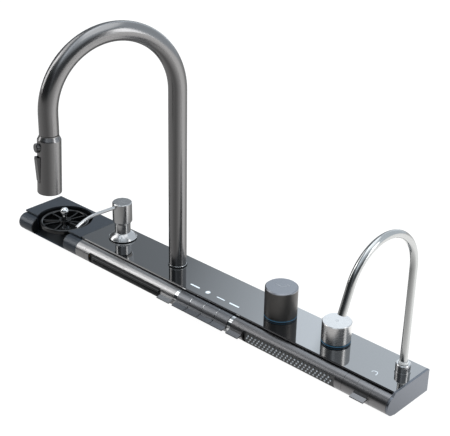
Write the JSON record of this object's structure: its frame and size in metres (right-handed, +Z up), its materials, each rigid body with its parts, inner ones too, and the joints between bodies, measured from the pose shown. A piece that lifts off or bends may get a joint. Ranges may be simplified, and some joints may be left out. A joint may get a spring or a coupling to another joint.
{
  "type": "kitchen faucet bar",
  "caption": "Long deck bar with a swivelling pull-down spout, soap pump, cup rinser, lit knobs, push keys, turning outlet tubes and a purified water spout.",
  "frame": {"origin": "middle of the underside, on the deck face", "axes": "+X along the bar to its end plate, +Y to the back, away from the sink, +Z up"},
  "size_m": [0.703, 0.2301, 0.4011],
  "materials": {
    "slate_paint": "satin",
    "bottom_steel": "brushed",
    "end_aluminium": "satin",
    "black_glass": "gloss",
    "mark_ink": "matte",
    "basin_plastic": "satin",
    "wheel_plastic": "satin",
    "stem_steel": "turned",
    "chrome": "polished",
    "spring_steel": "drawn",
    "seal_rubber": "matte",
    "bush_plastic": "satin",
    "brushed_steel": "brushed",
    "pump_plastic": "satin",
    "brass": "turned",
    "gunmetal": "brushed, metallic",
    "light_gunmetal": "brushed, metallic",
    "hose_rubber": "braided",
    "core_plastic": "satin",
    "button_plastic": "satin",
    "light_ring": "clear, lit",
    "dark_knob": "fine texture",
    "knob_cap": "satin",
    "white_plastic": "gloss",
    "outlet_plastic": "satin",
    "nozzle_rubber": "matte",
    "key_metal": "satin, metallic",
    "board": "matte"
  },
  "bodies": {
    "deck_body": {"base_housing": "slate_paint", "bottom_plate": "bottom_steel", "end_plate": "end_aluminium", "left_cover": "slate_paint", "glass_panel": "black_glass", "panel_marks": "mark_ink", "rinser_basin": "basin_plastic", "rinser_spring": "spring_steel", "soap_gasket": "seal_rubber", "soap_flange": "brushed_steel", "pump_barrel": "pump_plastic", "pump_spring": "spring_steel", "post_ring": "seal_rubber", "post_spigot": "brass", "knob_lights": "light_ring", "main_cartridge": "brass", "main_spring": "spring_steel", "knob_bases": "bush_plastic", "filter_cartridge": "brass", "purifier_collar": "brushed_steel", "purifier_bush": "white_plastic", "feed_pipe": "brass", "bright_collar": "light_gunmetal", "bright_rings": "chrome", "dark_collar": "gunmetal", "end_nose": "gunmetal", "manifold": "brass", "control_board": "board"},
    "rinser": {"rinser_wheel": "wheel_plastic", "rinser_stem": "stem_steel", "rinser_nozzle": "chrome"},
    "pump_rod": {"pump_stem": "stem_steel"},
    "pump_top": {"pump_cap": "brushed_steel", "pump_nozzle": "brushed_steel"},
    "spout": {"gooseneck": "gunmetal", "spray_hose": "hose_rubber", "hose_end": "hose_rubber", "dock_bush": "bush_plastic"},
    "spray_head": {"head_shell": "gunmetal", "head_core": "core_plastic", "spray_face": "core_plastic", "rocker_pin": "stem_steel"},
    "spray_button": {"head_button": "button_plastic"},
    "spray_rocker": {"head_rocker": "button_plastic"},
    "knob_rod": {"main_stem": "brass"},
    "knob": {"main_knob": "dark_knob", "main_knob_top": "knob_cap"},
    "filter_tap": {"filter_knob": "brushed_steel"},
    "purifier": {"purifier_tube": "brushed_steel", "purifier_tip": "core_plastic"},
    "waterfall": {"waterfall_tube": "light_gunmetal", "waterfall_outlet": "outlet_plastic"},
    "first_key": {"key_1": "key_metal"},
    "second_key": {"key_2": "key_metal"},
    "third_key": {"key_3": "key_metal"},
    "fourth_key": {"key_4": "key_metal"},
    "rain": {"rain_tube": "gunmetal", "rain_outlet": "outlet_plastic", "rain_nozzles": "nozzle_rubber"},
    "lever": {"side_lever": "gunmetal"}
  },
  "joints": [
    {"name": "rinser_press", "type": "slide", "parent": "deck_body", "child": "rinser", "axis": [0, 0, -1], "range_m": [0, 0.003], "stiffness_N_per_m": 600, "springref_m": -0.004, "deforming": ["rinser_spring"]},
    {"name": "pump_press", "type": "slide", "parent": "deck_body", "child": "pump_rod", "axis": [0, 0, -1], "range_m": [0, 0.014], "stiffness_N_per_m": 250, "springref_m": -0.012, "deforming": ["pump_spring"]},
    {"name": "pump_turn", "type": "hinge", "parent": "pump_rod", "child": "pump_top", "pos_m": [-0.1748, 0.0166, 0.08], "axis": [0, 0, 1], "continuous": true},
    {"name": "spout_swivel", "type": "hinge", "parent": "deck_body", "child": "spout", "pos_m": [-0.0568, 0.0146, 0.05], "axis": [0, 0, 1], "range_deg": [-105, 135]},
    {"name": "head_pull", "type": "slide", "parent": "spout", "child": "spray_head", "axis": [0, 0, -1], "range_m": [0, 0.35], "deforming": ["hose_end"]},
    {"name": "button_press", "type": "slide", "parent": "spray_head", "child": "spray_button", "axis": [0.2527, 0.9665, -0.0454], "range_m": [0, 0.0012], "stiffness_N_per_m": 800, "springref_m": -0.001},
    {"name": "rocker_tilt", "type": "hinge", "parent": "spray_head", "child": "spray_rocker", "pos_m": [-0.10664, -0.17605, 0.22454], "axis": [0.9675, -0.2529, 0], "range_deg": [-3, 3], "stiffness_Nm_per_rad": 0.3},
    {"name": "knob_press", "type": "slide", "parent": "deck_body", "child": "knob_rod", "axis": [0, 0, -1], "range_m": [0, 0.0008], "stiffness_N_per_m": 2000, "springref_m": -0.002, "deforming": ["main_spring"]},
    {"name": "knob_turn", "type": "hinge", "parent": "knob_rod", "child": "knob", "pos_m": [0.1377, 0.0127, 0.05], "axis": [0, 0, 1], "range_deg": [-60, 60]},
    {"name": "filter_turn", "type": "hinge", "parent": "deck_body", "child": "filter_tap", "pos_m": [0.2286, 0.0146, 0.05], "axis": [0, 0, 1], "range_deg": [0, 90]},
    {"name": "purifier_swivel", "type": "hinge", "parent": "deck_body", "child": "purifier", "pos_m": [0.3299, 0.0166, 0.05], "axis": [0, 0, 1], "range_deg": [-90, 90]},
    {"name": "waterfall_turn", "type": "hinge", "parent": "deck_body", "child": "waterfall", "pos_m": [-0.1015, -0.0296, 0.0145], "axis": [1, 0, 0], "range_deg": [-20, 30]},
    {"name": "key_1_press", "type": "hinge", "parent": "deck_body", "child": "first_key", "pos_m": [0.0095, -0.0296, 0.0145], "axis": [1, 0, 0], "range_deg": [0, 8], "stiffness_Nm_per_rad": 0.5, "springref_deg": -8.59},
    {"name": "key_2_press", "type": "hinge", "parent": "deck_body", "child": "second_key", "pos_m": [0.0325, -0.0296, 0.0145], "axis": [1, 0, 0], "range_deg": [0, 8], "stiffness_Nm_per_rad": 0.5, "springref_deg": -8.59},
    {"name": "key_3_press", "type": "hinge", "parent": "deck_body", "child": "third_key", "pos_m": [0.0565, -0.0296, 0.0145], "axis": [1, 0, 0], "range_deg": [0, 8], "stiffness_Nm_per_rad": 0.5, "springref_deg": -8.59},
    {"name": "key_4_press", "type": "hinge", "parent": "deck_body", "child": "fourth_key", "pos_m": [0.0795, -0.0296, 0.0145], "axis": [1, 0, 0], "range_deg": [0, 8], "stiffness_Nm_per_rad": 0.5, "springref_deg": -8.59},
    {"name": "rain_turn", "type": "hinge", "parent": "deck_body", "child": "rain", "pos_m": [0.1885, -0.0296, 0.0145], "axis": [1, 0, 0], "range_deg": [-20, 30]},
    {"name": "lever_turn", "type": "hinge", "parent": "deck_body", "child": "lever", "pos_m": [0.3125, -0.0296, 0.0145], "axis": [1, 0, 0], "range_deg": [0, 30]}
  ]
}
